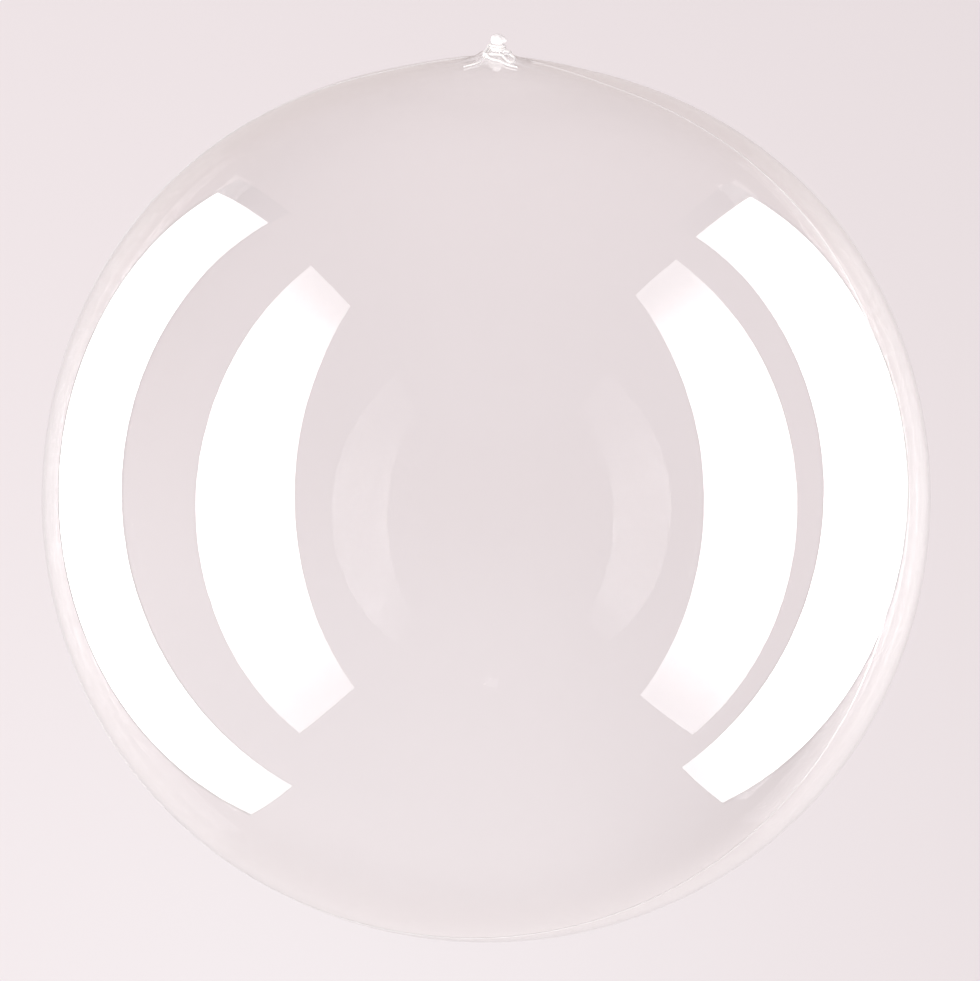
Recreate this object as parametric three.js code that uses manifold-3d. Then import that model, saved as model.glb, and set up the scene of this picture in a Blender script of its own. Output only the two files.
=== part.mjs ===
// A clear bubble balloon lying on its side: one envelope of stretched film, gathered at its neck and
// tied off with a short piece of string. Millimetres, +Z up. The neck points along +Y and the small
// flat spot that the balloon rests on is at z = 0, with the origin at its middle. The sealed envelope
// is modelled as a solid of its outer shape.
import * as THREE from "three";
import { mergeVertices } from "three/addons/utils/BufferGeometryUtils.js";
import Module from "manifold-3d";

const wasm = await Module();
wasm.setup();

// Driving dimensions of the envelope
const BELLY_R = 254; // half of the 508 mm across the belly
const SHOULDER = 0.005; // bulge half way from the belly to each pole, as a share of BELLY_R
const NECK_FLATTENING = 0.012; // how far the neck end is flattened, as a share of BELLY_R
const FAR_FLATTENING = 0.0035; // the same at the other end
const FLATTENING_FROM = 12; // the flattening fades out between these two angles from its pole, degrees
const FLATTENING_TO = 50;
const REST_R = 26; // radius of the flat spot underneath

// The gathered neck: the film climbs a low cone to the string, then ends in a crumpled tail
const CONE_R = 70; // where the film starts to climb
const CONE_RISE = 3.6;
const NIPPLE_RISE = 3.2; // the last, steeper climb beside the string
const NIPPLE_R = 7;
const NECK_R = 3.4; // the film gathered to a rope
const PLEAT_RISE = 1; // half height of the radiating pleats
const PLEAT_FROM = 4.5; // the pleats grow between these two radii
const PLEAT_TO = 8.5;
const PLEAT_FADE = 11;
const NECK_LENGTH = 5.1; // between the cone and the tail, under the string
const TAIL_LENGTH = 5.8;
const TAIL_R = 4;
const TAIL_LOBE_R = 2.3; // a fold of the tail that hangs out on one side

// The string
const STRING_R = 0.75;
const GAP = 0.6; // clearance between the string and the film
const LOOSE_TURN_X = 7; // half widths of the slack turn round the neck
const LOOSE_TURN_Z = 6.6;
const TIE_KNOT_R = 1.9;

const STEPS_AROUND = 60;
const STRING_SIDES = 8;
const TAU = 2 * Math.PI;

const bubbleFilm = new THREE.MeshStandardMaterial({
  color: 0xf4eeee,
  roughness: 0.04,
  metalness: 0,
  transparent: true,
  opacity: 0.2,
});
const whiteString = new THREE.MeshStandardMaterial({
  color: 0xf6f2ee,
  roughness: 0.85,
  metalness: 0,
});

function smooth(from, to, value) {
  return THREE.MathUtils.smoothstep(value, from, to);
}

// ---- The envelope's profile ----

// Distance from the middle of the bubble to the film, at an angle from the neck in radians.
function filmRadius(angle) {
  const degrees = THREE.MathUtils.radToDeg(angle);
  const shoulder = SHOULDER * Math.sin(2 * angle) ** 2;
  const neckEnd = NECK_FLATTENING * (1 - smooth(FLATTENING_FROM, FLATTENING_TO, degrees));
  const farEnd = FAR_FLATTENING * (1 - smooth(FLATTENING_FROM, FLATTENING_TO, 180 - degrees));
  return BELLY_R * (1 + shoulder - neckEnd - farEnd);
}

// How far the gathered film stands above the bubble's own curve, at a distance from the neck's axis.
function coneRise(r) {
  const broad = CONE_RISE * (1 - smooth(0, CONE_R, r));
  return broad + NIPPLE_RISE * Math.exp((NECK_R - r) / NIPPLE_R);
}

// The film's height along the neck's axis, at a distance r from that axis, on the neck's half.
function filmHeight(r) {
  let angle = r / BELLY_R;
  for (let i = 0; i < 6; i++) angle = Math.asin(r / filmRadius(angle));
  return filmRadius(angle) * Math.cos(angle) + coneRise(r);
}

// The pleats run out from the neck like rays. Their heights beat against each other, as folds do.
function pleatHeight(r, turn) {
  const fade = smooth(PLEAT_FROM, PLEAT_TO, r) * Math.exp(-Math.max(r - PLEAT_TO, 0) / PLEAT_FADE);
  const fromRidge = turn - Math.PI;
  return PLEAT_RISE * fade * (0.6 * Math.cos(7 * fromRidge) + 0.4 * Math.cos(4 * fromRidge));
}

const neckBase = filmHeight(NECK_R);
const tailBase = neckBase + NECK_LENGTH;
const restHeight = Math.sqrt(BELLY_R ** 2 - REST_R ** 2);

// ---- Solids ----

function toSolid(geometry) {
  const bare = geometry.clone();
  bare.deleteAttribute("normal");
  bare.deleteAttribute("uv");
  const merged = mergeVertices(bare, 1e-4);
  return new wasm.Manifold(
    new wasm.Mesh({
      numProp: 3,
      vertProperties: merged.attributes.position.array,
      triVerts: new Uint32Array(merged.index.array),
    }),
  );
}

function toGeometry(solid) {
  const mesh = solid.getMesh();
  const geometry = new THREE.BufferGeometry();
  geometry.setAttribute("position", new THREE.BufferAttribute(mesh.vertProperties, 3));
  geometry.setIndex(new THREE.BufferAttribute(mesh.triVerts, 1));
  geometry.computeVertexNormals();
  return geometry;
}

// Half of the envelope's section, from the far pole to the tip of the tail.
function envelopeProfile() {
  const bubbleSteps = 30;
  const coneSteps = 14;
  const tailSteps = 7;
  const crown = 0.35; // where the tail starts to round over, as a share of its length
  const coneAngle = Math.asin(CONE_R / filmRadius(CONE_R / BELLY_R));
  const points = [new THREE.Vector2(0, -filmRadius(Math.PI))];
  for (let i = 1; i < bubbleSteps; i++) {
    const angle = Math.PI + ((coneAngle - Math.PI) * i) / bubbleSteps;
    const r = filmRadius(angle);
    points.push(new THREE.Vector2(r * Math.sin(angle), r * Math.cos(angle)));
  }
  for (let i = 0; i <= coneSteps; i++) {
    const r = CONE_R * (NECK_R / CONE_R) ** (i / coneSteps);
    points.push(new THREE.Vector2(r, filmHeight(r)));
  }
  points.push(new THREE.Vector2(NECK_R, neckBase + NECK_LENGTH / 2));
  for (let i = 0; i < tailSteps; i++) {
    const share = i / tailSteps;
    const flare = NECK_R + (TAIL_R - NECK_R) * smooth(0, crown, share);
    const round = Math.sqrt(1 - Math.max(0, (share - crown) / (1 - crown)) ** 2);
    points.push(new THREE.Vector2(flare * round, tailBase + TAIL_LENGTH * share));
  }
  points.push(new THREE.Vector2(0, tailBase + TAIL_LENGTH));
  return points;
}

// Folds the turned shape: rays of pleats beside the neck, and a twisted, three-cornered tail.
function foldTheFilm(geometry) {
  const tailCreases = 0.16; // depth of the tail's folds, as a share of its radius
  const tailTwist = 2; // radians along the tail
  const position = geometry.attributes.position;
  for (let i = 0; i < position.count; i++) {
    const x = position.getX(i);
    const y = position.getY(i);
    const z = position.getZ(i);
    const r = Math.hypot(x, z);
    const turn = Math.atan2(z, x);
    if (y > 0 && y < neckBase + NECK_LENGTH / 4) {
      position.setY(i, y + pleatHeight(r, turn));
    }
    if (y > tailBase) {
      const up = (y - tailBase) / TAIL_LENGTH;
      const grow = 1 + tailCreases * smooth(0, 0.3, up) * Math.cos(3 * turn + tailTwist * up);
      position.setX(i, x * grow);
      position.setZ(i, z * grow);
    }
  }
  return geometry;
}

function tailFold() {
  const fold = new THREE.SphereGeometry(TAIL_LOBE_R, 12, 8);
  fold.scale(1.1, 0.9, 0.9);
  fold.rotateZ(-0.6);
  fold.translate(TAIL_R * 0.8, tailBase + TAIL_LENGTH * 0.48, 0.5);
  return toSolid(fold);
}

function balloonFilm() {
  const turned = foldTheFilm(new THREE.LatheGeometry(envelopeProfile(), STEPS_AROUND));
  const belowFloor = new THREE.BoxGeometry(2 * BELLY_R, 2 * BELLY_R, BELLY_R);
  belowFloor.translate(0, 0, -restHeight - BELLY_R / 2);
  const solid = toSolid(turned).add(tailFold()).subtract(toSolid(belowFloor));
  return toGeometry(solid);
}

// ---- The string ----

// A round length of string along a curve.
function strand(points, closed = false, steps = 3 * points.length) {
  const section = new THREE.Shape();
  for (let i = 0; i < STRING_SIDES; i++) {
    const turn = (TAU * i) / STRING_SIDES;
    const corner = [STRING_R * Math.cos(turn), STRING_R * Math.sin(turn)];
    if (i === 0) section.moveTo(...corner);
    else section.lineTo(...corner);
  }
  section.closePath();
  const curve = new THREE.CatmullRomCurve3(points, closed, "centripetal");
  return toSolid(new THREE.ExtrudeGeometry(section, { steps, extrudePath: curve, bevelEnabled: false }));
}

// A point of the string lying on the film, at a place across the neck's axis.
function onFilm(x, z, lift = 0) {
  const r = Math.hypot(x, z);
  const film = filmHeight(r) + pleatHeight(r, Math.atan2(z, x));
  return new THREE.Vector3(x, film + GAP + STRING_R + lift, z);
}

// Two tight turns round the gathered neck, that start from the knot.
function tightTurns(knotAt) {
  const turns = 2;
  const stepsPerTurn = 16;
  const pitch = 1.8 * STRING_R; // the turns press into each other
  const r = NECK_R + GAP + STRING_R;
  const low = neckBase + GAP + STRING_R;
  const points = [knotAt];
  for (let i = 0; i <= turns * stepsPerTurn; i++) {
    const turn = Math.PI + (TAU * i) / stepsPerTurn;
    const height = low + (pitch * i) / stepsPerTurn;
    points.push(new THREE.Vector3(r * Math.cos(turn), height, r * Math.sin(turn)));
  }
  return strand(points, false, turns * stepsPerTurn + 2);
}

// One slack turn outside them, that lies lower in front, where it is knotted.
function slackTurn() {
  const steps = 16;
  const points = [];
  for (let i = 0; i < steps; i++) {
    const turn = (TAU * i) / steps;
    const tilt = 1.2 * (1 - Math.sin(turn));
    points.push(onFilm(LOOSE_TURN_X * Math.cos(turn), LOOSE_TURN_Z * Math.sin(turn), tilt));
  }
  return strand(points, true, 24);
}

function tieString() {
  const knotAt = onFilm(-5.6, 5.4, TIE_KNOT_R - STRING_R);
  const knot = new THREE.SphereGeometry(TIE_KNOT_R, 12, 8);
  knot.scale(1.15, 0.9, 1);
  knot.translate(knotAt.x, knotAt.y, knotAt.z);
  const shortEnd = strand([knotAt, onFilm(-7.6, 9.6), onFilm(-11, 15), onFilm(-18.2, 19.6)]);
  const longEnd = strand([knotAt, onFilm(-3.4, 9.4), onFilm(1.7, 14.6), onFilm(5.6, 18.6), onFilm(11.2, 20)]);
  const bight = strand([
    onFilm(2.4, 6.2, 1.2),
    onFilm(4.6, 9.4, 0.3),
    onFilm(6.6, 11.6),
    onFilm(9.2, 9.4),
    onFilm(9.6, 5.8),
    onFilm(6.6, 3.2, 0.8),
  ]);
  const solid = tightTurns(knotAt).add(slackTurn()).add(toSolid(knot)).add(shortEnd).add(longEnd).add(bight);
  return toGeometry(solid);
}

// ---- The part ----

const balloon = new THREE.Group();
balloon.position.z = restHeight;

const film = new THREE.Mesh(balloonFilm(), bubbleFilm);
film.name = "balloon_film";
balloon.add(film);

const string = new THREE.Mesh(tieString(), whiteString);
string.name = "tie_string";
balloon.add(string);

export default new THREE.Group().add(balloon);
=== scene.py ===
# %% [markdown]
# A clear bubble balloon: one envelope of stretched film, gathered at its neck and tied off with a
# short piece of white string. It lies on its side with the neck along +Y, and rests on a small
# flat spot. The imported model is loaded first, as a fixed frame that all pieces are fitted to.

# %% Load the frame
import math

import bpy
import numpy as np
from mathutils import Matrix, Vector, noise


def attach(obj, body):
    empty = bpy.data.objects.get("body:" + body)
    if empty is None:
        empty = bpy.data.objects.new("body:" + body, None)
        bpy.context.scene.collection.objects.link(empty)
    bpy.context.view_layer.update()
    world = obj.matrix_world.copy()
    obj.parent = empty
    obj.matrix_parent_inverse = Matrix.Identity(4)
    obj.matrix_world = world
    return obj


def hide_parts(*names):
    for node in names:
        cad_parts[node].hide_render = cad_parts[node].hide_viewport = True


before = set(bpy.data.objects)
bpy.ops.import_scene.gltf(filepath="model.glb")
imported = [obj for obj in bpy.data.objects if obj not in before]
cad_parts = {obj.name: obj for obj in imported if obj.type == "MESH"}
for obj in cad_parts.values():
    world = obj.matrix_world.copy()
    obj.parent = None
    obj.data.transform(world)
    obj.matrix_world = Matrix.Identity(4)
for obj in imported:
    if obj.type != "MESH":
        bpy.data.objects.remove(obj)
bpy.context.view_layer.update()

# %% [markdown]
# The envelope's driving sizes are the ones that the solid was made from: a ball of 508 mm, a
# little fuller half way to the poles, flattened a little at both ends, and a low cone of film that
# climbs to the string. Everything that is fitted to the film asks these few functions, so the film
# and the string can't drift apart. All lengths are in metres, so a length in millimetres is
# multiplied by MM.

# %% The envelope's shape in numbers
MM = 0.001
TAU = 2 * math.pi
BELLY_R = 254 * MM
SHOULDER = 0.005  # how much fuller the ball is half way to its poles, as a share of its radius
NECK_FLATTENING = 0.012  # at the neck's end, as a share of the radius
FAR_FLATTENING = 0.0035
FLATTENING_FROM, FLATTENING_TO = 12, 50  # degrees from the pole over which it eases out
REST_R = 26 * MM  # of the flat spot
REST_HEIGHT = math.sqrt(BELLY_R**2 - REST_R**2)
CONE_R, CONE_RISE = 70 * MM, 3.6 * MM
NIPPLE_R, NIPPLE_RISE = 7 * MM, 3.2 * MM
NECK_R, NECK_LENGTH = 3.4 * MM, 5.1 * MM
TAIL_R, TAIL_LENGTH = 4 * MM, 5.8 * MM
ANGLE_ROUNDS = 6  # by then the angle has settled


def smooth(start, end, value):
    """0 at the start and 1 at the end, eased at both."""
    share = np.clip((value - start) / (end - start), 0, 1)
    return share * share * (3 - 2 * share)


def film_radius(angle):
    """From the bubble's middle to the film, at an angle from the neck in radians."""
    degrees = np.degrees(angle)
    neck_end = NECK_FLATTENING * (1 - smooth(FLATTENING_FROM, FLATTENING_TO, degrees))
    far_end = FAR_FLATTENING * (1 - smooth(FLATTENING_FROM, FLATTENING_TO, 180 - degrees))
    return BELLY_R * (1 + SHOULDER * np.sin(2 * angle) ** 2 - neck_end - far_end)


def film_height(r):
    """Along the neck's axis, at a distance r from that axis."""
    angle = r / BELLY_R
    for _ in range(ANGLE_ROUNDS):
        angle = np.arcsin(r / film_radius(angle))
    cone = CONE_RISE * (1 - smooth(0, CONE_R, r))
    nipple = NIPPLE_RISE * np.exp((NECK_R - r) / NIPPLE_R)
    return film_radius(angle) * np.cos(angle) + cone + nipple


NECK_BASE = float(film_height(NECK_R))
TAIL_BASE = NECK_BASE + NECK_LENGTH
print(f"neck starts {NECK_BASE / MM:.1f} mm from the bubble's middle, tail {TAIL_BASE / MM:.1f} mm")

# %% [markdown]
# The camera comes first, because the framing decides how much detail each region needs. It looks
# down on the lying balloon from a little to the neck's side, as a product shot does, through a
# long lens that keeps the ball round. It is aimed a few millimetres past the ball's middle, so
# that the ball stands slightly low in the frame with room for the knot above it.

# %% Camera
CAMERA_TILT = math.radians(16.5)  # from straight above, towards the neck
CAMERA_ROLL = math.radians(1.4)
CAMERA_DISTANCE = 8.47 * BELLY_R
CAMERA_LENS = 137.25  # millimetres
AIM_SIDE, AIM_UP = 2.1 * MM, 4.1 * MM  # from the ball's middle

middle = Vector((0, 0, REST_HEIGHT))
to_camera = Vector((0, math.sin(CAMERA_TILT), math.cos(CAMERA_TILT)))
level_side = Vector((1, 0, 0))
level_up = Vector((0, math.cos(CAMERA_TILT), -math.sin(CAMERA_TILT)))
side = level_side * math.cos(CAMERA_ROLL) + level_up * math.sin(CAMERA_ROLL)
up = level_up * math.cos(CAMERA_ROLL) - level_side * math.sin(CAMERA_ROLL)

camera_data = bpy.data.cameras.new("camera")
camera_data.lens = CAMERA_LENS
camera_data.clip_start = 0.05
camera_data.clip_end = 60
camera = bpy.data.objects.new("camera", camera_data)
bpy.context.scene.collection.objects.link(camera)
camera_at = middle + to_camera * CAMERA_DISTANCE
back = (camera_at - (middle + side * AIM_SIDE + up * AIM_UP)).normalized()
right = up.cross(back).normalized()
turned = Matrix((right, back.cross(right), back)).transposed()
camera.matrix_world = Matrix.Translation(camera_at) @ turned.to_4x4()
bpy.context.scene.camera = camera
print("camera at", tuple(round(v, 3) for v in camera_at))

# %% [markdown]
# The film's outline is drawn once and turned round the neck's axis, as a glass blower would. The
# ball could be started from a sphere primitive, but its rows are spaced evenly, and this envelope
# needs them close together at the neck and wide apart on the belly. So a circle is cut to a half,
# its points are moved to the envelope's outline, and the half is spun.

# %% The half outline
BUBBLE_ROWS = 128
CONE_ROWS = 24
NECK_ROWS = 4
TAIL_ROWS = 16
ROWS = BUBBLE_ROWS + CONE_ROWS + NECK_ROWS + TAIL_ROWS
TAIL_CROWN = 0.35  # where the tail starts to round over, as a share of its length


def outline_point(row):
    """Distance from the neck's axis and height along it, from the far pole to the tail's tip."""
    if row <= BUBBLE_ROWS:
        cone_angle = math.asin(CONE_R / film_radius(CONE_R / BELLY_R))
        angle = math.pi + (cone_angle - math.pi) * row / BUBBLE_ROWS
        r = film_radius(angle)
        return r * math.sin(angle), r * math.cos(angle)
    row -= BUBBLE_ROWS
    if row <= CONE_ROWS:
        r = CONE_R * (NECK_R / CONE_R) ** (row / CONE_ROWS)
        return r, film_height(r)
    row -= CONE_ROWS
    if row <= NECK_ROWS:
        return NECK_R, NECK_BASE + NECK_LENGTH * row / NECK_ROWS
    share = (row - NECK_ROWS) / TAIL_ROWS
    # the second half of the rows lies closer and closer together, to round the tip
    share = math.sin(share * math.pi / 2) if share > 0.5 else share * math.sqrt(2)
    flare = NECK_R + (TAIL_R - NECK_R) * smooth(0, TAIL_CROWN, share)
    dome = math.sqrt(max(0, 1 - max(0, (share - TAIL_CROWN) / (1 - TAIL_CROWN)) ** 2))
    return flare * dome, TAIL_BASE + TAIL_LENGTH * share


def start_alone():
    """Leaves edit mode and deselects all, so that the next operator acts on the new piece alone."""
    if bpy.context.object and bpy.context.object.mode != "OBJECT":
        bpy.ops.object.mode_set(mode="OBJECT")
    bpy.ops.object.select_all(action="DESELECT")


def delete_vertices(piece, unwanted):
    """Deletes the vertices of the active piece for which the list says True."""
    bpy.ops.object.mode_set(mode="EDIT")
    bpy.ops.mesh.select_all(action="DESELECT")
    bpy.ops.object.mode_set(mode="OBJECT")
    piece.data.vertices.foreach_set("select", unwanted)
    bpy.ops.object.mode_set(mode="EDIT")
    bpy.ops.mesh.delete(type="VERT")
    bpy.ops.object.mode_set(mode="OBJECT")


start_alone()
bpy.ops.mesh.primitive_circle_add(vertices=2 * ROWS, radius=BELLY_R, location=(0, 0, 0))
film = bpy.context.object
film.name = film.data.name = "bubble_film"
delete_vertices(film, [vertex.co.x < -0.001 * MM for vertex in film.data.vertices])
for vertex in film.data.vertices:
    row = round(ROWS * math.atan2(vertex.co.x, -vertex.co.y) / math.pi)
    r, height = outline_point(row)
    vertex.co = (r if 0 < row < ROWS else 0, height, REST_HEIGHT)
print("half outline of", len(film.data.vertices), "points")

# %% [markdown]
# Spinning the half outline gives every row of the film the same number of points, so the pleats
# can be set row by row afterwards. Adding a Screw modifier would do the same, but the operator
# leaves a plain mesh to work on. The spin's first and last line lie on each other and are merged.

# %% Spin it round the neck's axis
STEPS_AROUND = 216
MERGED_WITHIN = 0.01 * MM


def turn_faces_outwards():
    """Turns the faces of the piece in edit mode outwards, and leaves edit mode."""
    bpy.ops.mesh.select_all(action="SELECT")
    bpy.ops.mesh.normals_make_consistent(inside=False)
    bpy.ops.object.mode_set(mode="OBJECT")


bpy.ops.object.mode_set(mode="EDIT")
bpy.ops.mesh.select_all(action="SELECT")
bpy.ops.mesh.spin(steps=STEPS_AROUND, angle=TAU, center=(0, 0, REST_HEIGHT), axis=(0, 1, 0))
bpy.ops.mesh.select_all(action="SELECT")
bpy.ops.mesh.remove_doubles(threshold=MERGED_WITHIN)
turn_faces_outwards()
print("spun to", len(film.data.polygons), "faces")

# %% [markdown]
# A ball of film isn't a lathe part. Where it is gathered it has pleats: broad ones that run out
# over the cone like rays, fine ones pressed close to the string, and a puffed ridge on either
# side. They could be sculpted by hand, but waves round the neck that fade with the distance from
# its axis give the same look, and the string can ask the same function how high the film stands
# under it.

# %% Pleats round the neck
BROAD_RISE = 1 * MM
BROAD_WAVES = ((7, 0.6), (4, 0.4))  # how many round the neck, and their share of the rise
BROAD_FROM, BROAD_FULL = 4.5 * MM, 8.5 * MM  # from the neck's axis
BROAD_FADE = 11 * MM
FINE_RISE = 0.3 * MM
FINE_WAVES = 17
FINE_WANDER = 2.2  # radians by which they wander from an even spacing
FINE_FROM, FINE_FULL, FINE_FADES_FROM = 3.6 * MM, 5 * MM, 6 * MM
FINE_FADE = 9 * MM
RIDGES = ((math.pi, 2.0 * MM), (0.0, 0.7 * MM))  # turn and rise of the puffed ridges
RIDGE_R, RIDGE_LENGTH = 8 * MM, 3.6 * MM
RIDGE_WIDTH = 0.42  # radians


def hump(value, peak, width):
    """1 at the peak, and about a third at one width from it."""
    return np.exp(-(((value - peak) / width) ** 2))


def pleat_height(r, turn):
    """How far the pleats lift the film, at a distance from the neck's axis and a turn round it."""
    broad = smooth(BROAD_FROM, BROAD_FULL, r) * np.exp(-np.maximum(r - BROAD_FULL, 0) / BROAD_FADE)
    waves = sum(share * np.cos(count * (turn - math.pi)) for count, share in BROAD_WAVES)
    fine = smooth(FINE_FROM, FINE_FULL, r) * np.exp(-np.maximum(r - FINE_FADES_FROM, 0) / FINE_FADE)
    fine_waves = np.cos(FINE_WAVES * turn + FINE_WANDER * np.sin(2 * turn))
    height = BROAD_RISE * broad * waves + FINE_RISE * fine * fine_waves
    for ridge_turn, rise in RIDGES:
        aside = (turn - ridge_turn + math.pi) % TAU - math.pi
        height = height + rise * hump(aside, 0, RIDGE_WIDTH) * hump(r, RIDGE_R, RIDGE_LENGTH)
    return height


def vertices_of(piece):
    """The piece's vertices as an array with a row for each."""
    places = np.empty(len(piece.data.vertices) * 3)
    piece.data.vertices.foreach_get("co", places)
    return places.reshape(-1, 3)


from_middle = vertices_of(film) - np.array((0, 0, REST_HEIGHT))
r = np.hypot(from_middle[:, 0], from_middle[:, 2])
turn = np.arctan2(from_middle[:, 2], from_middle[:, 0])
height = from_middle[:, 1].copy()
cone_top = NECK_BASE + NECK_LENGTH / NECK_ROWS / 2  # half way to the neck's next row
lift = np.where((height > 0) & (height < cone_top), pleat_height(r, turn), 0)
from_middle[:, 1] += lift
print("pleats lift the film by up to", round(float(lift.max() / MM), 2), "mm")

# %% [markdown]
# Under the string the film is a rope of folds. Past it the neck opens again into a short tail. Its
# folds are pressed together into a rounded bud, with one fold that hangs out on the right. Cloth
# simulation could crumple it, but the bud is only 8 mm across, and a few waves round it with a
# little noise give the same look.

# %% Neck folds and the crumpled tail
NECK_FOLDS = 9
NECK_FOLD_DEPTH = 0.09  # as a share of the radius, as are the tail's depths
GATHERED_FROM, GATHERED_FULL = 9 * MM, 4 * MM  # from the neck's axis
TAIL_OPEN_AT = 0.3  # as a share of the tail's length, as are the other places along it
TAIL_FOLDS = ((3, 2, 0, 0.12), (7, -5, 1, 0.05))  # count, sweep along the tail, start, depth
HANGING_DEPTH = 0.27
HANGING_AT, HANGING_LENGTH = 0.36, 0.3
HANGING_TURN, HANGING_WIDTH = 0.15, 0.75  # radians
CRUMPLE, CRUMPLE_SIZE = 0.26 * MM, 1.7 * MM
CRUMPLE_SEED = 7  # without a seed the crumple would differ each time

gathered = smooth(GATHERED_FROM, GATHERED_FULL, r) * (height > 0)
neck_grow = 1 + NECK_FOLD_DEPTH * gathered * np.cos(NECK_FOLDS * turn)
rise = np.clip((height - TAIL_BASE) / TAIL_LENGTH, 0, 1)
opening = smooth(0, TAIL_OPEN_AT, rise)
tail_folds = sum(
    depth * np.cos(count * turn + sweep * rise + start) for count, sweep, start, depth in TAIL_FOLDS
)
hanging = hump(rise, HANGING_AT, HANGING_LENGTH) * hump(turn, HANGING_TURN, HANGING_WIDTH)
in_tail = height > TAIL_BASE
tail_grow = 1 + opening * (tail_folds + HANGING_DEPTH * hanging)
grow = np.where(in_tail, tail_grow, neck_grow)
from_middle[:, 0] *= grow
from_middle[:, 2] *= grow
noise.seed_set(CRUMPLE_SEED)
for i in np.flatnonzero(in_tail):
    crumple = noise.noise_vector(Vector(from_middle[i]) / CRUMPLE_SIZE)
    from_middle[i] += CRUMPLE * opening[i] * np.array(crumple)
print("folded, with", int(in_tail.sum()), "vertices in the tail")

# %% [markdown]
# Film that was blown up by hand isn't a perfect ball. Its back has set a few millimetres off
# centre, which shows in the mirror image inside it, and it is very slightly uneven all over, which
# bends the reflections' edges. Where it lies on the floor it is pressed flat, gently at the edge,
# because the film is soft. A cut with a plane would leave a sharp edge there, which clear film
# shows at once.

# %% Slight unevenness, and the flat spot
UNEVEN, UNEVEN_SIZE = 0.05 * MM, 70 * MM
UNEVEN_FROM, UNEVEN_FULL = 30 * MM, 90 * MM  # from the neck's axis
FAR_END_SHARE = 0.3  # of the distance past the middle, which keeps the far pole uneven too
BACK_SIDEWAYS, BACK_FROM_NECK = 4.3 * MM, 4.5 * MM
BACK_FROM, BACK_FULL = 0, -0.7 * BELLY_R  # along the camera's axis
FLAT_SOFTNESS = 0.4 * MM  # how gently the film meets the floor
FLOOR_REACH = 30  # softnesses above the floor, from where the film keeps its height


def put_vertices(piece, places):
    """Moves the piece's vertices to the rows of an array."""
    piece.data.vertices.foreach_set("co", places.ravel())
    piece.data.update()


outward = from_middle / np.linalg.norm(from_middle, axis=1)[:, None]
away_from_neck = r + FAR_END_SHARE * np.maximum(-height, 0)
waves = np.array([noise.noise(Vector(place) / UNEVEN_SIZE) for place in from_middle])
waves *= UNEVEN * smooth(UNEVEN_FROM, UNEVEN_FULL, away_from_neck)
from_middle += outward * waves[:, None]
settled = smooth(BACK_FROM, BACK_FULL, from_middle @ np.array(to_camera))[:, None]
from_middle += settled * np.array((BACK_SIDEWAYS, -BACK_FROM_NECK, 0))
above_floor = (from_middle[:, 2] + REST_HEIGHT) / FLAT_SOFTNESS
pressed = FLAT_SOFTNESS * np.log1p(np.exp(np.minimum(above_floor, FLOOR_REACH))) - REST_HEIGHT
from_middle[:, 2] = np.where(above_floor < FLOOR_REACH, pressed, from_middle[:, 2])
put_vertices(film, from_middle + np.array((0, 0, REST_HEIGHT)))
print("lowest point of the film:", round(float(vertices_of(film)[:, 2].min() / MM), 3), "mm")

# %% [markdown]
# The film is thin but real: light enters it and leaves it again, and each of its two faces mirrors
# a little. A single sheet with a glass shader would bend light as a solid ball does. So the sheet
# gets a wall of 0.15 mm with a Solidify modifier, inwards, which keeps the outside as it was
# drawn.

# %% Give the film its wall
FILM_WALL = 0.15 * MM

wall = film.modifiers.new("wall", "SOLIDIFY")
wall.thickness = FILM_WALL
wall.offset = -1
start_alone()
film.select_set(True)
bpy.context.view_layer.objects.active = film
bpy.ops.object.modifier_apply(modifier=wall.name)
bpy.ops.object.shade_smooth()
print("film with its wall:", len(film.data.polygons), "faces")

# %% [markdown]
# The film is clear plastic: fully transmissive, mirror smooth, with the refraction of most
# plastics. These are plain values on the shader's own sockets. Round the neck fine pleats blur
# what the film mirrors, so that part is a little rougher. In the tail many layers lie on each
# other and scatter the light. Modelling each layer would be slow and hardly seen, so the tail gets
# a milky finish of its own, with a fine relief.

# %% Film materials
FILM_IOR = 1.5
CLEAR_COLOUR = (1.0, 0.995, 0.995, 1)
CRINKLE_SCALE = 900  # crinkles of about a millimetre
MILKY_FROM = NECK_BASE + 1.0 * MM
PLEATED_TO = 19 * MM  # from the neck's axis
CLEAR, MILKY, PLEATED = range(3)


def new_material(name, values):
    """A material with plain values on its shader's own sockets, and what is needed to add nodes."""
    material = bpy.data.materials.new(name)
    material.use_nodes = True
    nodes, links = material.node_tree.nodes, material.node_tree.links
    shader = nodes["Principled BSDF"]
    for socket, value in values.items():
        shader.inputs[socket].default_value = value
    return material, nodes, links, shader


def noise_node(nodes, links, where, scale, detail):
    """A noise pattern that is laid out by the vector it is given."""
    pattern = nodes.new("ShaderNodeTexNoise")
    pattern.inputs["Scale"].default_value = scale
    pattern.inputs["Detail"].default_value = detail
    links.new(where, pattern.inputs["Vector"])
    return pattern


def add_relief(nodes, links, shader, pattern, strength, depth):
    """Lets a pattern stand out a little from the surface."""
    bump = nodes.new("ShaderNodeBump")
    bump.inputs["Strength"].default_value = strength
    bump.inputs["Distance"].default_value = depth
    links.new(pattern.outputs["Fac"], bump.inputs["Height"])
    links.new(bump.outputs["Normal"], shader.inputs["Normal"])


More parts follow.
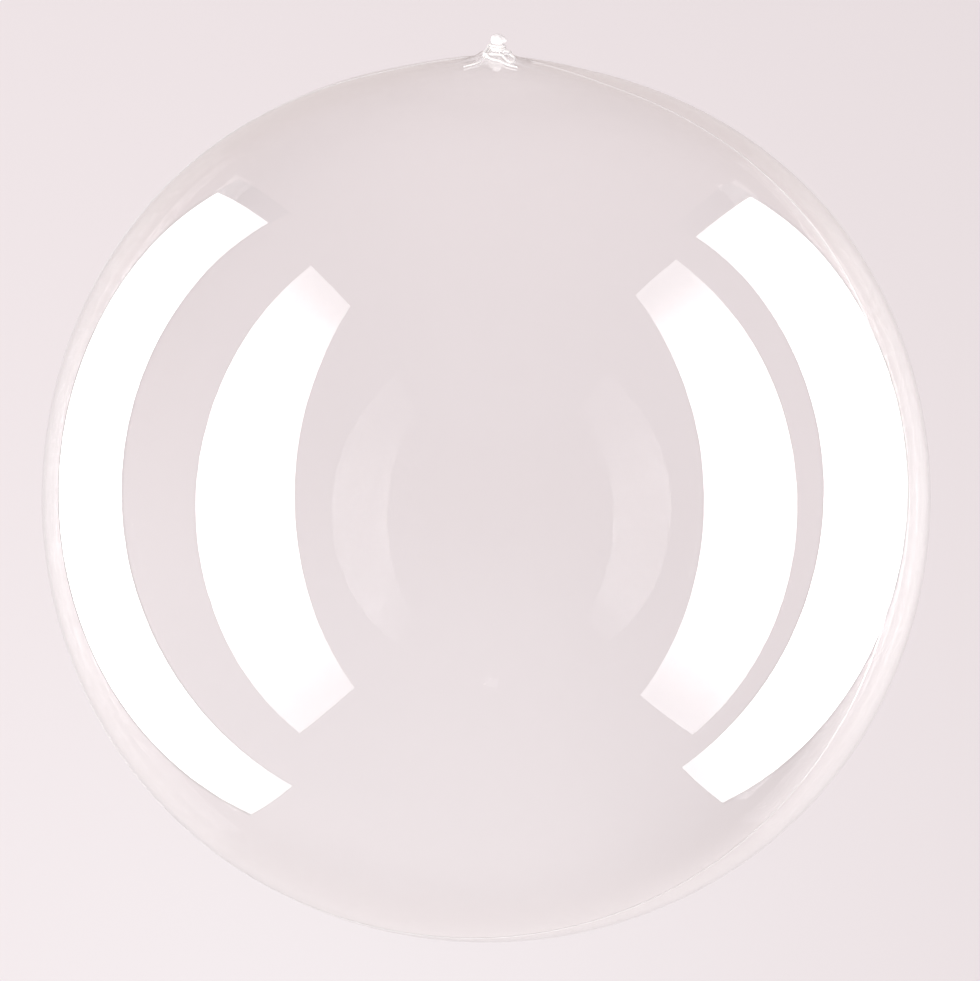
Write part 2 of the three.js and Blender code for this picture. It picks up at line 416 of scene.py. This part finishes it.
clear_film = new_material("clear_film", {
    "Base Color": CLEAR_COLOUR, "Transmission Weight": 1, "Roughness": 0, "IOR": FILM_IOR,
})[0]
pleated_film = new_material("pleated_film", {
    "Base Color": CLEAR_COLOUR, "Transmission Weight": 1, "Roughness": 0.12, "IOR": FILM_IOR,
})[0]
milky_film, nodes, links, shader = new_material("gathered_film", {
    "Base Color": (0.97, 0.965, 0.965, 1),
    "Transmission Weight": 0.08,
    "Roughness": 0.4,
    "IOR": FILM_IOR,
})
where = nodes.new("ShaderNodeTexCoord")
crinkles = noise_node(nodes, links, where.outputs["Object"], CRINKLE_SCALE, detail=3)
add_relief(nodes, links, shader, crinkles, strength=0.5, depth=0.15 * MM)

for material in (clear_film, milky_film, pleated_film):
    film.data.materials.append(material)
for face in film.data.polygons:
    x, y, z = face.center
    if y > MILKY_FROM:
        face.material_index = MILKY
    elif y > 0 and math.hypot(x, z - REST_HEIGHT) < PLEATED_TO:
        face.material_index = PLEATED
film.visible_shadow = False  # so thin a film casts no shadow and throws no light back on the floor
film.visible_diffuse = False
finish_of_faces = [face.material_index for face in film.data.polygons]
print("milky faces:", finish_of_faces.count(MILKY), "pleated:", finish_of_faces.count(PLEATED))

# %% [markdown]
# Such a balloon is blown up from two sheets of film that are welded together round their edges.
# The weld is a flat bead that runs right round the ball in one plane, and shows as a thin pale
# line. It could be a fine ridge in the film's own mesh, but that would need rows a tenth as far
# apart. So it is a thin ring of its own, and these functions say where the weld's plane cuts the
# film.

# %% Where the weld runs
SEAM_NORMAL = Vector((-0.210, 0.278, 0.937)).normalized()
SEAM_OFFSET = 66.3 * MM  # from the bubble's middle to the weld's plane
RIM_ROUNDS = 4  # by then the ring has settled on the film


def surface_along(spoke):
    """Distance from the bubble's middle to the film's outside, in one direction."""
    reach = float(film_radius(math.acos(max(-1, min(1, spoke.y)))))
    r = reach * math.hypot(spoke.x, spoke.z)
    if spoke.y > 0 and r < CONE_R:
        raised = float(film_height(r) + pleat_height(r, math.atan2(spoke.z, spoke.x)))
        reach = math.hypot(r, raised)
    return min(reach, REST_HEIGHT / -spoke.z) if spoke.z < 0 else reach


seam_side = SEAM_NORMAL.cross(Vector((0, 1, 0))).normalized()
seam_over = SEAM_NORMAL.cross(seam_side)


def seam_ring(turn):
    """Where the weld meets the film at a turn round it, and how far from the neck's axis."""
    outwards = seam_side * math.cos(turn) + seam_over * math.sin(turn)
    rim = math.sqrt(BELLY_R**2 - SEAM_OFFSET**2)
    for _ in range(RIM_ROUNDS):
        spoke = (SEAM_NORMAL * SEAM_OFFSET + outwards * rim).normalized()
        rim = math.sqrt(surface_along(spoke) ** 2 - SEAM_OFFSET**2)
    place = spoke * surface_along(spoke)
    beside_neck = math.hypot(place.x, place.z) if place.y > 0 else BELLY_R
    return place, spoke, beside_neck


print("weld starts", tuple(round(v, 3) for v in seam_ring(0)[0]), "m from the bubble's middle")

# %% [markdown]
# The bead itself starts as a torus, because that has its rings in order. Each ring is flattened
# and carried to its place, just clear of the film, and gets narrower towards the neck. Where the
# pleats hide the weld the torus is cut open, and its two ends are closed.

# %% Weld seam
SEAM_STOPS = 17 * MM  # from the neck's axis, where the weld is lost in the pleats
SEAM_FULL = 115 * MM  # from there on it has its full width
SEAM_WIDTH, SEAM_THICKNESS = 1.1 * MM, 0.24 * MM
SEAM_NARROWEST = 0.3  # as a share of its width
SEAM_CLEARANCE = 0.06 * MM
SEAM_STEPS, SEAM_SECTION = 256, 8

start_alone()
bpy.ops.mesh.primitive_torus_add(
    major_segments=SEAM_STEPS,
    minor_segments=SEAM_SECTION,
    major_radius=BELLY_R,
    minor_radius=SEAM_WIDTH / 2,
    location=(0, 0, 0),
)
seam = bpy.context.object
seam.name = seam.data.name = "weld_seam"
corners, in_pleats = [], []
for i in range(SEAM_STEPS):
    place, spoke, beside_neck = seam_ring(TAU * i / SEAM_STEPS)
    widening = float(smooth(SEAM_STOPS, SEAM_FULL, beside_neck))
    width = SEAM_WIDTH * (SEAM_NARROWEST + (1 - SEAM_NARROWEST) * widening)
    across = (SEAM_NORMAL - spoke * SEAM_NORMAL.dot(spoke)).normalized()
    centre = middle + place + spoke * (SEAM_CLEARANCE + SEAM_THICKNESS / 2)
    for k in range(SEAM_SECTION):
        round_bead = TAU * k / SEAM_SECTION
        corner = centre + across * math.cos(round_bead) * width / 2
        corners.append(corner + spoke * math.sin(round_bead) * SEAM_THICKNESS / 2)
        in_pleats.append(beside_neck < SEAM_STOPS)
put_vertices(seam, np.array(corners))
delete_vertices(seam, in_pleats)
bpy.ops.object.mode_set(mode="EDIT")
bpy.ops.mesh.select_all(action="SELECT")
bpy.ops.mesh.fill_holes(sides=SEAM_SECTION)
turn_faces_outwards()
bpy.ops.object.shade_smooth()
seam.visible_shadow = False
seam.visible_diffuse = False
print("seam of", len(seam.data.polygons), "faces")

# %% [markdown]
# Welded film is the same plastic, but melted, so it is duller and paler than the film beside it. A
# clear and glossy bead would mirror the dark of the studio and show as a dark line. So it lets
# only a part of the light through, scatters the rest, and is blended a little with what lies
# behind it.

# %% Weld finish
weld = new_material("welded_film", {
    "Base Color": (0.98, 0.97, 0.97, 1),
    "Transmission Weight": 0.4,
    "Alpha": 0.75,
    "Roughness": 0.4,
    "IOR": FILM_IOR,
})[0]
seam.data.materials.append(weld)
print("finishes of the seam:", [material.name for material in seam.data.materials])

# %% [markdown]
# The string lies on pleated film, so its routes are given by points across the neck, and each is
# lifted to the film's own surface. A curve object could round them off, but its points would have
# to be read back to lay a twisted strand along them. So a small function rounds them instead.

# %% Routes for the string
STRING_R = 0.75 * MM
STRING_CLEARANCE = 0.2 * MM
STRAND_STEP = 0.3 * MM


def on_film(x, z, lift=0.0):
    """A point of string that lies on the film, x and z in millimetres across the neck's axis."""
    r, turn = math.hypot(x, z) * MM, math.atan2(z, x)
    height = film_height(r) + pleat_height(r, turn) + STRING_CLEARANCE + STRING_R + lift * MM
    return Vector((x * MM, float(height), z * MM + REST_HEIGHT))


def between(a, b, t_a, t_b, at):
    """The point on the line from a to b, where at lies between their times."""
    return a + (b - a) * (at - t_a) / (t_b - t_a)


def route_through(points, closed=False):
    """A smooth route through the points: a centripetal Catmull-Rom curve in short steps."""
    points = [np.array(p) for p in points]
    if closed:
        points = [points[-1]] + points + points[:2]
    else:
        points = [2 * points[0] - points[1]] + points + [2 * points[-1] - points[-2]]
    route = []
    for a, b, c, d in zip(points, points[1:], points[2:], points[3:]):
        t = np.cumsum([0] + [np.linalg.norm(q - p) ** 0.5 for p, q in ((a, b), (b, c), (c, d))])
        steps = max(2, math.ceil(np.linalg.norm(c - b) / STRAND_STEP))
        for at in np.linspace(t[1], t[2], steps, endpoint=False):
            ab, bc = between(a, b, t[0], t[1], at), between(b, c, t[1], t[2], at)
            cd = between(c, d, t[2], t[3], at)
            abc, bcd = between(ab, bc, t[0], t[2], at), between(bc, cd, t[1], t[3], at)
            route.append(between(abc, bcd, t[1], t[2], at))
    if not closed:
        route.append(points[-2])
    return np.array(route)


print(f"string of {2 * STRING_R / MM:.1f} mm, {STRING_CLEARANCE / MM:.1f} mm clear of the film")

# %% [markdown]
# The string is three plies of cotton twisted together. A round tube would look like wire, so each
# strand is a three-lobed section carried along its route and turned as it goes, once every few
# millimetres. It is written out ring by ring, because every ring then also stores how far along
# and how far round it is, and the fibres can follow the twist.

# %% A twisted strand
TWIST_PITCH = 4.2 * MM
SECTION_POINTS = 15
PLIES = 3
PLY_DEPTH = 0.6  # 1 for three round plies, 0 for a round strand
END_CAP = 0.3 * STRING_R  # how far a cut end bulges
START_ACROSS = (0.31, 0.77, 0.55)  # a direction that no strand starts along

strand_vertices, strand_faces, strand_along = [], [], []


def ply_section(turn):
    """How far a three-lobed section reaches at a turn round it, as a share of its radius."""
    off_lobe = (turn + math.pi / PLIES) % (TAU / PLIES) - math.pi / PLIES
    lobed = 0.5 * math.cos(off_lobe) + math.sqrt(0.25 - (0.5 * math.sin(off_lobe)) ** 2)
    return 1 - PLY_DEPTH * (1 - lobed)


def add_ring(centre, across, over, length, radius):
    """One section of a strand, turned by the length that lies behind it."""
    twist = TAU * length / TWIST_PITCH
    for k in range(SECTION_POINTS):
        turn = TAU * k / SECTION_POINTS
        reach = radius * ply_section(turn)
        spoke = across * math.cos(turn + twist) + over * math.sin(turn + twist)
        strand_vertices.append(centre + spoke * reach)
        strand_along.append((k / SECTION_POINTS, length / (TAU * STRING_R), 0))


def join_rings(here, there):
    """Faces between two sections, each given by its first point."""
    for k in range(SECTION_POINTS):
        beside = (k + 1) % SECTION_POINTS
        strand_faces.append((here + k, here + beside, there + beside, there + k))


def close_end(ring, tip_at):
    """Closes a cut end with faces that meet in its tip."""
    tip = len(strand_vertices)
    strand_vertices.append(tip_at)
    strand_along.append(strand_along[ring])
    for k in range(SECTION_POINTS):
        strand_faces.append((tip, ring + k, ring + (k + 1) % SECTION_POINTS))


def lay_strand(route, closed=False, thins_to=1.0):
    """Carries the section along the route, twisting it, and returns the route's length."""
    before, after = np.roll(route, 1, axis=0), np.roll(route, -1, axis=0)
    if not closed:
        before[0], after[-1] = route[0], route[-1]
    tangents = after - before
    tangents /= np.linalg.norm(tangents, axis=1)[:, None]
    across = np.cross(tangents[0], START_ACROSS)
    first, rings, length = len(strand_vertices), len(route), 0.0
    for i, (centre, tangent) in enumerate(zip(route, tangents)):
        across = across - tangent * (across @ tangent)
        across /= np.linalg.norm(across)
        if i:
            length += float(np.linalg.norm(centre - route[i - 1]))
        radius = STRING_R * (1 + (thins_to - 1) * i / (rings - 1))
        add_ring(centre, across, np.cross(tangent, across), length, radius)
    for i in range(rings - 1 + closed):
        join_rings(first + i * SECTION_POINTS, first + (i + 1) % rings * SECTION_POINTS)
    if not closed:
        close_end(first, route[0] - tangents[0] * END_CAP)
        close_end(first + (rings - 1) * SECTION_POINTS, route[-1] + tangents[-1] * END_CAP)
    return length


print("one twist every", TWIST_PITCH / MM, "mm, in", PLIES, "plies")

# %% [markdown]
# The string goes twice round the neck under the tail, and both its ends come down to the knot at
# the front left. A slack turn lies lower, on the pleats, and the loop and the two cut ends lie on
# the film. The routes are the solid's own, so the string fills the space that the solid holds.

# %% Lay the string round the neck
TURN_POINTS = 16
TIGHT_TURNS = 2
TIGHT_R = NECK_R + STRING_CLEARANCE + STRING_R
TIGHT_FROM = NECK_BASE + 1.9 * MM
TIGHT_PITCH = 1.5 * MM  # a strand's thickness, so the turns lie on each other
KNOT_PLACE = (-6.3, 6.8, 0.6)  # millimetres to the right, forwards and up from the film
TIGHT_END = Vector((-1.2, 0.9, 0.3)) * MM  # from the knot
SLACK_HEIGHT = NECK_BASE + 0.5 * MM
SLACK_ACROSS, SLACK_FORWARDS, SLACK_ASIDE = 7.5, 7, 0.2  # millimetres

knot_at = on_film(*KNOT_PLACE)
lengths = {}

tight = [knot_at]
for i in range(TIGHT_TURNS * TURN_POINTS + 1):
    turn = math.pi + TAU * i / TURN_POINTS
    rise = TIGHT_FROM + TIGHT_PITCH * i / TURN_POINTS
    tight.append(Vector((TIGHT_R * math.cos(turn), rise, TIGHT_R * math.sin(turn) + REST_HEIGHT)))
tight.append(knot_at + TIGHT_END)
lengths["tight turns"] = lay_strand(route_through(tight))

slack = []
for i in range(TURN_POINTS):
    turn = TAU * i / TURN_POINTS
    beside, forwards = SLACK_ACROSS * math.cos(turn) + SLACK_ASIDE, SLACK_FORWARDS * math.sin(turn)
    slack.append(Vector((beside * MM, SLACK_HEIGHT, forwards * MM + REST_HEIGHT)))
lengths["slack turn"] = lay_strand(route_through(slack, closed=True), closed=True)
print("turns, mm:", {name: round(length / MM, 1) for name, length in lengths.items()})

# %% [markdown]
# Both cut ends leave the knot and lie on the film, one to the left and one to the right, and a
# small loop stands beside the neck. Cut cotton untwists, so the ends thin out towards their tips.
# Each route is a few stops across the neck, which the film's own function lifts to its surface.

# %% Cut ends and the loop
END_THINS_TO = 0.6
ENDS = {
    "short end": ((-7.6, 9.6), (-11, 15), (-18.2, 19.6)),
    "long end": ((-3.4, 9.4), (1.7, 14.6), (5.6, 18.6), (11.2, 20)),
}
LOOP = ((2.4, 6.2, 1.2), (4.6, 9.4, 0.3), (6.6, 11.6), (9.2, 9.4), (9.6, 5.8), (6.6, 3.2, 0.8))

for name, stops in ENDS.items():
    route = route_through([knot_at] + [on_film(*stop) for stop in stops])
    lengths[name] = lay_strand(route, thins_to=END_THINS_TO)
lengths["loop"] = lay_strand(route_through([on_film(*stop) for stop in LOOP]))
print("string, mm:", {name: round(length / MM, 1) for name, length in lengths.items()})

# %% [markdown]
# A real overhand knot can't be made out at this size. What shows is a bulge of string wrapped
# round itself, so the knot is a short, tight helix round the place where the strands meet.

# %% Knot: the string wrapped round itself
KNOT_R, KNOT_LENGTH = 1.15 * MM, 2.2 * MM
KNOT_WRAPS, KNOT_POINTS = 1.7, 24
KNOT_SQUASH = 0.8
knot_axis = Vector((-0.45, 0.1, 0.9)).normalized()
knot_side = knot_axis.cross(Vector((0, 1, 0))).normalized()
knot_over = knot_side.cross(knot_axis)
wraps = []
for i in range(KNOT_POINTS + 1):
    turn = TAU * KNOT_WRAPS * i / KNOT_POINTS
    along = (i / KNOT_POINTS - 0.5) * KNOT_LENGTH
    spoke = knot_side * math.cos(turn) + knot_over * math.sin(turn) * KNOT_SQUASH
    wraps.append(knot_at + knot_axis * along + spoke * KNOT_R)
lengths["knot"] = lay_strand(route_through(wraps))
print("string in the knot, mm:", round(lengths["knot"] / MM, 1))

# %% [markdown]
# All strands are one piece of string, so their rings go into one mesh. How far along and round the
# strand each point lies is kept with it as an attribute, which the cotton's fibres read.

# %% Make the string's mesh
string_mesh = bpy.data.meshes.new("neck_string")
string_mesh.from_pydata(strand_vertices, [], strand_faces)
string = bpy.data.objects.new("neck_string", string_mesh)
bpy.context.scene.collection.objects.link(string)
along_strand = string_mesh.attributes.new("along_strand", "FLOAT_VECTOR", "POINT")
along_strand.data.foreach_set("vector", np.array(strand_along, dtype=np.float32).ravel())
start_alone()
string.select_set(True)
bpy.context.view_layer.objects.active = string
bpy.ops.object.shade_smooth()
bpy.ops.object.mode_set(mode="EDIT")
turn_faces_outwards()
print("string faces:", len(string_mesh.polygons))

# %% [markdown]
# Cotton is matt and white, with fine fibres that run along each ply. The fibres are a noise that
# is stretched along the strand, read from the place along and round it that each ring stored, and
# they drive both a little relief and a slight change of colour. The colour is darker where the
# relief dips, which is painted shade between the fibres.

# %% String material
FIBRE_STRETCH = (14, 1.6, 1)  # fine round the strand, long along it
SHADED_FIBRE = (0.92, 0.905, 0.89, 1)
BRIGHT_FIBRE = (0.99, 0.985, 0.975, 1)

cotton, nodes, links, shader = new_material("white_cotton", {
    "Roughness": 0.9,
    "Sheen Weight": 0.25,
    "Subsurface Weight": 0.35,
    "Subsurface Radius": (1, 0.95, 0.9),
    "Subsurface Scale": 0.5 * MM,
})
where = nodes.new("ShaderNodeAttribute")
where.attribute_name = "along_strand"
mapping = nodes.new("ShaderNodeMapping")
mapping.inputs["Scale"].default_value = FIBRE_STRETCH
links.new(where.outputs["Vector"], mapping.inputs["Vector"])
fibres = noise_node(nodes, links, mapping.outputs["Vector"], scale=2, detail=4)
ramp = nodes.new("ShaderNodeValToRGB")
# the darker stop falls where the fibres' relief dips: painted shade between the fibres
shades = ((0.3, SHADED_FIBRE), (0.62, BRIGHT_FIBRE))
for element, (position, colour) in zip(ramp.color_ramp.elements, shades):
    element.position = position
    element.color = colour
links.new(fibres.outputs["Fac"], ramp.inputs["Fac"])
links.new(ramp.outputs["Color"], shader.inputs["Base Color"])
add_relief(nodes, links, shader, fibres, strength=0.5, depth=0.06 * MM)
string.data.materials.append(cotton)
print("finish of the string:", cotton.name, "with", len(nodes), "nodes")

# %% [markdown]
# A clear film shows only what it mirrors, so the studio is half the picture. The lights that it
# mirrors are panels with a glow that mirrored rays alone meet, so they hide nothing from any side
# and light nothing. Area lights could show in the film too, but they would light the floor in
# streaks, and their brightness couldn't fall off towards their ends as a real softbox's does.

# %% A glow that only the film mirrors
ONE_BOUNCE = 0.5  # more than this many bounces is at least one
STRIP_BRIGHTNESS = 21.0
STRIP_FADE = 0.86
HOUSING_BRIGHTNESS = 0.05


def math_node(nodes, links, operation, *values):
    """A math node that is fed numbers or the outputs of other nodes."""
    node = nodes.new("ShaderNodeMath")
    node.operation = operation
    for socket, value in zip(node.inputs, values):
        if isinstance(value, (int, float)):
            socket.default_value = value
        else:
            links.new(value, socket)
    return node.outputs[0]


def mirrored_ray(nodes, links):
    """1 for a ray that has been mirrored on its way from the camera, 0 for any other."""
    path = nodes.new("ShaderNodeLightPath")
    return math_node(nodes, links, "GREATER_THAN", path.outputs["Glossy Depth"], ONE_BOUNCE), path


def show_mix(nodes, links, share, first, second, output):
    """Sends the first shader to the output where the share is 0, and the second where it is 1."""
    mix = nodes.new("ShaderNodeMixShader")
    links.new(share, mix.inputs["Fac"])
    links.new(first.outputs[0], mix.inputs[1])
    links.new(second.outputs[0], mix.inputs[2])
    links.new(mix.outputs[0], output.inputs["Surface"])


def seen_in_the_film(name, brightness, fade=0.0, outside_only=False):
    """A glow that only mirrored light meets, weaker by the share fade at the ends of its length."""
    material = bpy.data.materials.new(name)
    material.use_nodes = True
    nodes, links = material.node_tree.nodes, material.node_tree.links
    nodes.clear()
    mirrored, path = mirrored_ray(nodes, links)
    hidden_by = path.outputs["Transmission Depth" if outside_only else "Diffuse Depth"]
    direct = math_node(nodes, links, "LESS_THAN", hidden_by, ONE_BOUNCE)
    shown = math_node(nodes, links, "MULTIPLY", mirrored, direct)
    glow = nodes.new("ShaderNodeEmission")
    glow.inputs["Strength"].default_value = brightness
    if fade:
        where = nodes.new("ShaderNodeTexCoord")
        split = nodes.new("ShaderNodeSeparateXYZ")
        links.new(where.outputs["Object"], split.inputs[0])
        off_middle = math_node(nodes, links, "ABSOLUTE", split.outputs["Y"])
        # 1 at the middle of the length, 0 at its ends
        from_end = math_node(nodes, links, "MULTIPLY_ADD", off_middle, -2, 1)
        profile = math_node(nodes, links, "POWER", from_end, 2)
        lowest = brightness * (1 - fade)
        level = math_node(nodes, links, "MULTIPLY_ADD", profile, brightness * fade, lowest)
        links.new(level, glow.inputs["Strength"])
    clear = nodes.new("ShaderNodeBsdfTransparent")
    output = nodes.new("ShaderNodeOutputMaterial")
    show_mix(nodes, links, shown, clear, glow, output)
    material.cycles.emission_sampling = "NONE"
    return material


strip_glow = seen_in_the_film("strip_glow", STRIP_BRIGHTNESS, fade=STRIP_FADE)
strip_frame = seen_in_the_film("strip_frame", HOUSING_BRIGHTNESS, outside_only=True)
print("panel finishes:", strip_glow.name, strip_frame.name)

# %% [markdown]
# Two strip lights of 30 by 120 cm stand upright on either side, as they do in a product studio,
# and give the long white bands: the outer pair from the near side of the film, the inner pair from
# the inside of its far side. Each stands in a slightly larger dark housing, which shows at its
# corners. They are planes, because a mirror image shows no depth behind a light's face.

# %% Strip lights
HOUSING_WIDER = (0.03, 0.09)  # than the light's face, across and along it
HOUSING_ASIDE = (0.01, 0.035, 0.004)  # across, along and off the light's face

# hand is -1 on the left, and place is sideways, up and towards the camera from the bubble's middle.
# yaw turns the face about its length, lean tips the length sideways, and pitch tips it towards the
# camera, all in radians.
STRIPS = {
    "left": dict(
        hand=-1, place=(0.448, -0.096, -0.046), size=(0.299, 1.191),
        yaw=0.152, lean=-0.028, pitch=-0.055,
    ),
    "right": dict(
        hand=1, place=(0.487, -0.084, 0.0), size=(0.326, 1.245),
        yaw=0.108, lean=-0.076, pitch=-0.346,
    ),
}


def stand_panel(name, material, hand, place, size, yaw, lean, pitch, aside=(0, 0, 0)):
    """A flat panel beside the balloon. aside moves it across, along and off its face."""
    across = Vector((math.sin(yaw) * hand, 0, -math.cos(yaw)))
    along = Vector((math.sin(lean) * hand, math.cos(lean) * math.cos(pitch), math.sin(pitch)))
    along = (along - across * along.dot(across)).normalized()
    off = across.cross(along)
    if off.x * hand < 0:
        off = -off
    centre = Vector((hand * place[0], place[1], place[2]))
    centre += across * aside[0] + along * aside[1] + off * aside[2]
    to_world = Matrix((level_side, level_up, to_camera)).transposed()
    start_alone()
    bpy.ops.mesh.primitive_plane_add(size=1)
    panel = bpy.context.object
    panel.name = name
    turned = to_world @ Matrix((across, along, across.cross(along))).transposed()
    panel.matrix_world = (
        Matrix.Translation(middle + to_world @ centre)
        @ turned.to_4x4()
        @ Matrix.Diagonal((size[0], size[1], 1, 1))
    )
    panel.data.materials.append(material)


for name, strip in STRIPS.items():
    stand_panel(name + "_strip", strip_glow, **strip)
    rim = [length + wider for length, wider in zip(strip["size"], HOUSING_WIDER)]
    stand_panel(name + "_strip_frame", strip_frame, **{**strip, "size": rim}, aside=HOUSING_ASIDE)
print("strip lights at", [strip["place"] for strip in STRIPS.values()])

# %% [markdown]
# The floor is plain, pale and matt, a plane a hair below the balloon. A floor that the film
# mirrors would show in it as a bright lower half. So the floor is see-through for mirrored rays,
# and what the film shows is set by the studio alone.

# %% Floor
FLOOR_SIZE = 16
FLOOR_DROP = 0.5 * MM  # so that the floor and the flat spot don't share a plane

start_alone()
bpy.ops.mesh.primitive_plane_add(size=FLOOR_SIZE, location=(0, 0, -FLOOR_DROP))
floor = bpy.context.object
floor.name = "floor"
floor_material, nodes, links, shader = new_material("pale_floor", {
    "Base Color": (0.75, 0.712, 0.724, 1), "Roughness": 1, "Specular IOR Level": 0,
})
floor.data.materials.append(floor_material)
unseen = nodes.new("ShaderNodeBsdfTransparent")
mirrored = mirrored_ray(nodes, links)[0]
show_mix(nodes, links, mirrored, shader, unseen, nodes["Material Output"])
print("floor at", round(floor.location.z / MM, 2), "mm")

# %% [markdown]
# The studio's walls are as pale as the floor at the horizon and darker overhead, where the camera
# stands. The film mirrors that dark, so the bubble looks a little darker than the floor round it,
# as clear film does. For mirrored rays the studio is also darker and warmer towards the neck,
# darker on the right, and a little dimmer straight below, with a faint light edge on the left
# there. Panels could make such patches too, but smooth steps over the direction have no edges that
# the film would show.

# %% Studio
STUDIO_TINT = (1, 0.925, 0.935, 1)
WARM_TINT = (1, 0.84, 0.8, 1)

world = bpy.data.worlds.new("studio")
bpy.context.scene.world = world
world.use_nodes = True
nodes, links = world.node_tree.nodes, world.node_tree.links
where = nodes.new("ShaderNodeTexCoord")
direction = nodes.new("ShaderNodeSeparateXYZ")
links.new(where.outputs["Generated"], direction.inputs[0])


def eased(axis, start, end, low, high):
    """From low to high as the direction's share of an axis goes from start to end."""
    node = nodes.new("ShaderNodeMapRange")
    node.interpolation_type = "SMOOTHSTEP"
    for name, number in (("From Min", start), ("From Max", end), ("To Min", low), ("To Max", high)):
        node.inputs[name].default_value = number
    links.new(direction.outputs[axis], node.inputs["Value"])
    return node.outputs["Result"]


def combined(operation, first, *others):
    """Chains one operation over numbers or outputs."""
    for other in others:
        first = math_node(nodes, links, operation, first, other)
    return first


def mixed(kind, share, low, high):
    """From low to high as the share goes from 0 to 1, for numbers (FLOAT) or colours (RGBA)."""
    node = nodes.new("ShaderNodeMix")
    node.data_type = kind
    links.new(share, node.inputs["Factor"])
    for socket, value in (("A", low), ("B", high)):
        if kind == "RGBA":
            node.inputs[socket].default_value = value
        else:
            links.new(value, node.inputs[socket])
    return node.outputs["Result"]


sky = eased("Z", -0.1, 0.95, 0.86, 0.58)
towards_neck = eased("Y", -0.4, 0.6, 1.18, 0.5)
not_low = eased("Z", -0.7, -0.35, 0, 1)
straight_down = eased("Z", -0.7, -0.9, 0, 1)
dimmed_right = combined("MULTIPLY", eased("X", 0.1, 0.75, 0, 0.5), not_low)
dimmed_below = combined("MULTIPLY", eased("Y", -0.22, 0.05, 0.14, 0.1), straight_down)
left_edge = combined("MULTIPLY", eased("X", -0.05, -0.3, 0, 0.04), straight_down)
kept = combined("SUBTRACT", 1, combined("ADD", dimmed_right, dimmed_below))
mirrored_sky = combined("ADD", combined("MULTIPLY", sky, towards_neck, kept), left_edge)
mirrored = mirrored_ray(nodes, links)[0]
warm = combined("MULTIPLY", eased("Y", -0.3, 0.4, 0, 1), mirrored)
background = nodes["Background"]
links.new(mixed("FLOAT", mirrored, sky, mirrored_sky), background.inputs["Strength"])
links.new(mixed("RGBA", warm, STUDIO_TINT, WARM_TINT), background.inputs["Color"])
print("studio of", len(nodes), "nodes")

# %% [markdown]
# A big soft light overhead on the left lights the floor and the string. A small cool one at the
# far end evens out the floor's colour there. String and milky film would be as grey as the floor,
# so a small light stands over the knot. A lamp for the knot alone would light the floor too, so
# light linking keeps it off. None of these lights shows in the film, where the strip lights alone
# are to be seen. Light passes many faces of film on its way, so it gets more bounces than usual.

# %% Lights
OVERHEAD_AT, FAR_END_AT, KNOT_LIGHT_AT = (-1.1, -0.7, 3.2), (-0.12, -0.62, 0.45), (-0.2, 0.5, 1.4)


def soft_light(name, location, size, watts, colour):
    """A square area light that shines on the bubble and isn't mirrored in it."""
    light = bpy.data.lights.new(name, "AREA")
    light.size = size
    light.energy = watts
    light.color = colour
    lamp = bpy.data.objects.new(name, light)
    bpy.context.scene.collection.objects.link(lamp)
    lamp.location = location
    lamp.rotation_euler = (middle - Vector(location)).to_track_quat("-Z", "Y").to_euler()
    lamp.visible_glossy = False
    lamp.visible_transmission = False
    return lamp


soft_light("overhead_softbox", OVERHEAD_AT, size=2.6, watts=73, colour=(1, 0.98, 0.972))
soft_light("far_end_fill", FAR_END_AT, size=0.35, watts=0.35, colour=(0.6, 1, 1))
knot_light = soft_light("knot_light", KNOT_LIGHT_AT, size=0.3, watts=4.2, colour=(1, 0.99, 0.98))
lit_by_it = bpy.data.collections.new("lit_by_knot_light")
for piece in (film, string):
    lit_by_it.objects.link(piece)
knot_light.light_linking.receiver_collection = lit_by_it
bpy.context.scene.view_settings.view_transform = "Standard"
cycles = bpy.context.scene.cycles
cycles.max_bounces = cycles.transmission_bounces = 20
cycles.glossy_bounces = 10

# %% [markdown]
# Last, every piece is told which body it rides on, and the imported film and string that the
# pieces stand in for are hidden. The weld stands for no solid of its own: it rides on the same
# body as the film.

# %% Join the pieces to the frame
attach(film, "root")
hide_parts("balloon_film")
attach(seam, "root")
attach(string, "root")
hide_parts("tie_string")

bpy.context.view_layer.update()
